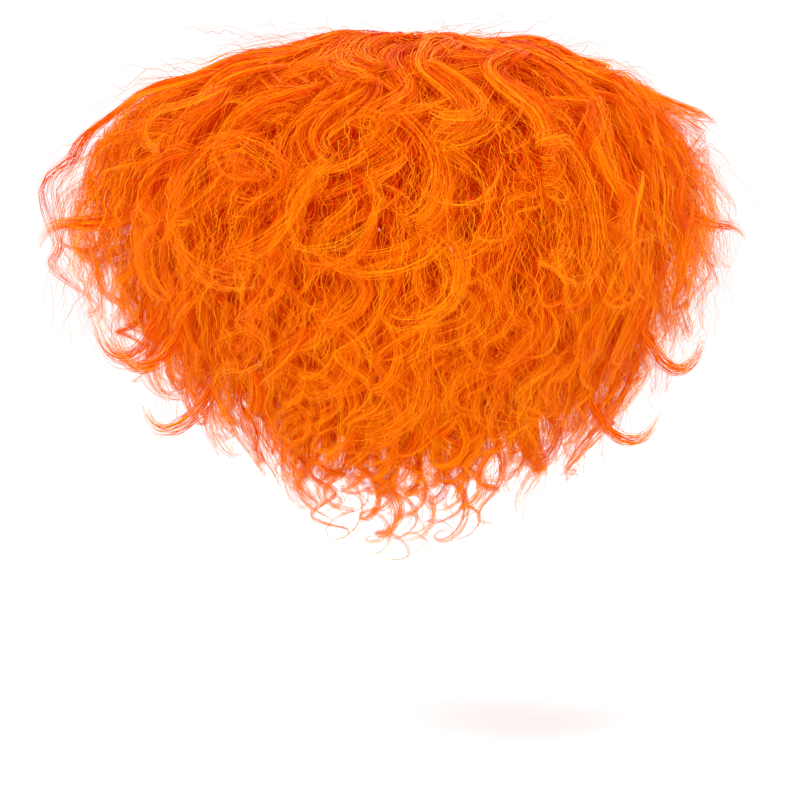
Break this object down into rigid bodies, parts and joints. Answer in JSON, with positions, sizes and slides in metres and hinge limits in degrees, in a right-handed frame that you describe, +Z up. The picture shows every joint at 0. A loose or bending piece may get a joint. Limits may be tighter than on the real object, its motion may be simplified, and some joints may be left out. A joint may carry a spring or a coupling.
{
  "type": "costume wig",
  "caption": "Very full, wavy, bright orange costume wig sewn in nine wefts on an open elastic cap, with two sliding nape adjusters.",
  "frame": {"origin": "the middle of the wearer's head, level with the tops of the ears (mount head_seat)", "axes": "+Z up through the crown, +Y the way the wearer faces, +X to the wearer's right; the back of the wig is on the -Y side"},
  "size_m": [0.404, 0.2784, 0.3117],
  "materials": {
    "stretch_net": "fine open net, matt",
    "parting_fabric": "close-woven skin-tone tape, matt",
    "satin_ribbon": "satin ribbon",
    "velour": "soft pile, matt",
    "wide_elastic": "ribbed elastic, matt",
    "label_satin": "blank woven satin",
    "elastic_lace": "elastic lace with scalloped edges",
    "tab_fabric": "turned and topstitched fabric, matt",
    "thin_elastic": "thin ribbed elastic, matt",
    "loop_pile": "loop pile of a touch fastener",
    "hook_tape": "hook face of a touch fastener",
    "casing_tape": "folded woven tape",
    "strap_elastic": "knitted elastic, matt",
    "weft_stitching": "chain-stitched fibre band",
    "synthetic_hair": "fine satin synthetic fibre"
  },
  "bodies": {
    "cap": {"crown_net": "stretch_net", "parting_tape": "parting_fabric", "strip_back_centre": "elastic_lace", "strip_back_left": "elastic_lace", "strip_back_right": "elastic_lace", "strip_side_left": "elastic_lace", "strip_side_right": "elastic_lace", "strip_temple_left": "elastic_lace", "strip_temple_right": "elastic_lace", "front_band": "satin_ribbon", "forehead_lining": "velour", "ear_tab_left": "tab_fabric", "ear_tab_right": "tab_fabric", "ear_binding_left": "thin_elastic", "ear_binding_right": "thin_elastic", "nape_band": "wide_elastic", "care_label": "label_satin", "loop_patch_left": "loop_pile", "loop_patch_right": "loop_pile", "strap_casing_left": "casing_tape", "strap_casing_right": "casing_tape", "track_row_1": "weft_stitching", "track_row_2": "weft_stitching", "track_row_3": "weft_stitching", "track_row_4": "weft_stitching", "track_row_5": "weft_stitching", "track_row_6": "weft_stitching", "track_row_7": "weft_stitching", "track_row_8": "weft_stitching", "track_row_9": "weft_stitching", "hair_row_1": "synthetic_hair", "hair_row_2": "synthetic_hair", "hair_row_3": "synthetic_hair", "hair_row_4": "synthetic_hair", "hair_row_5": "synthetic_hair", "hair_row_6": "synthetic_hair", "hair_row_7": "synthetic_hair", "hair_row_8": "synthetic_hair", "hair_row_9": "synthetic_hair"},
    "adjuster_left": {"strap_left": "strap_elastic", "hook_patch_left": "hook_tape"},
    "adjuster_right": {"strap_right": "strap_elastic", "hook_patch_right": "hook_tape"}
  },
  "joints": [
    {"name": "adjust_left", "type": "hinge", "parent": "cap", "child": "adjuster_left", "pos_m": [0, -0.028, -0.0865], "axis": [0, 0, 1], "range_deg": [0, 20]},
    {"name": "adjust_right", "type": "hinge", "parent": "cap", "child": "adjuster_right", "pos_m": [0, -0.028, -0.0865], "axis": [0, 0, 1], "range_deg": [-20, 0]}
  ]
}
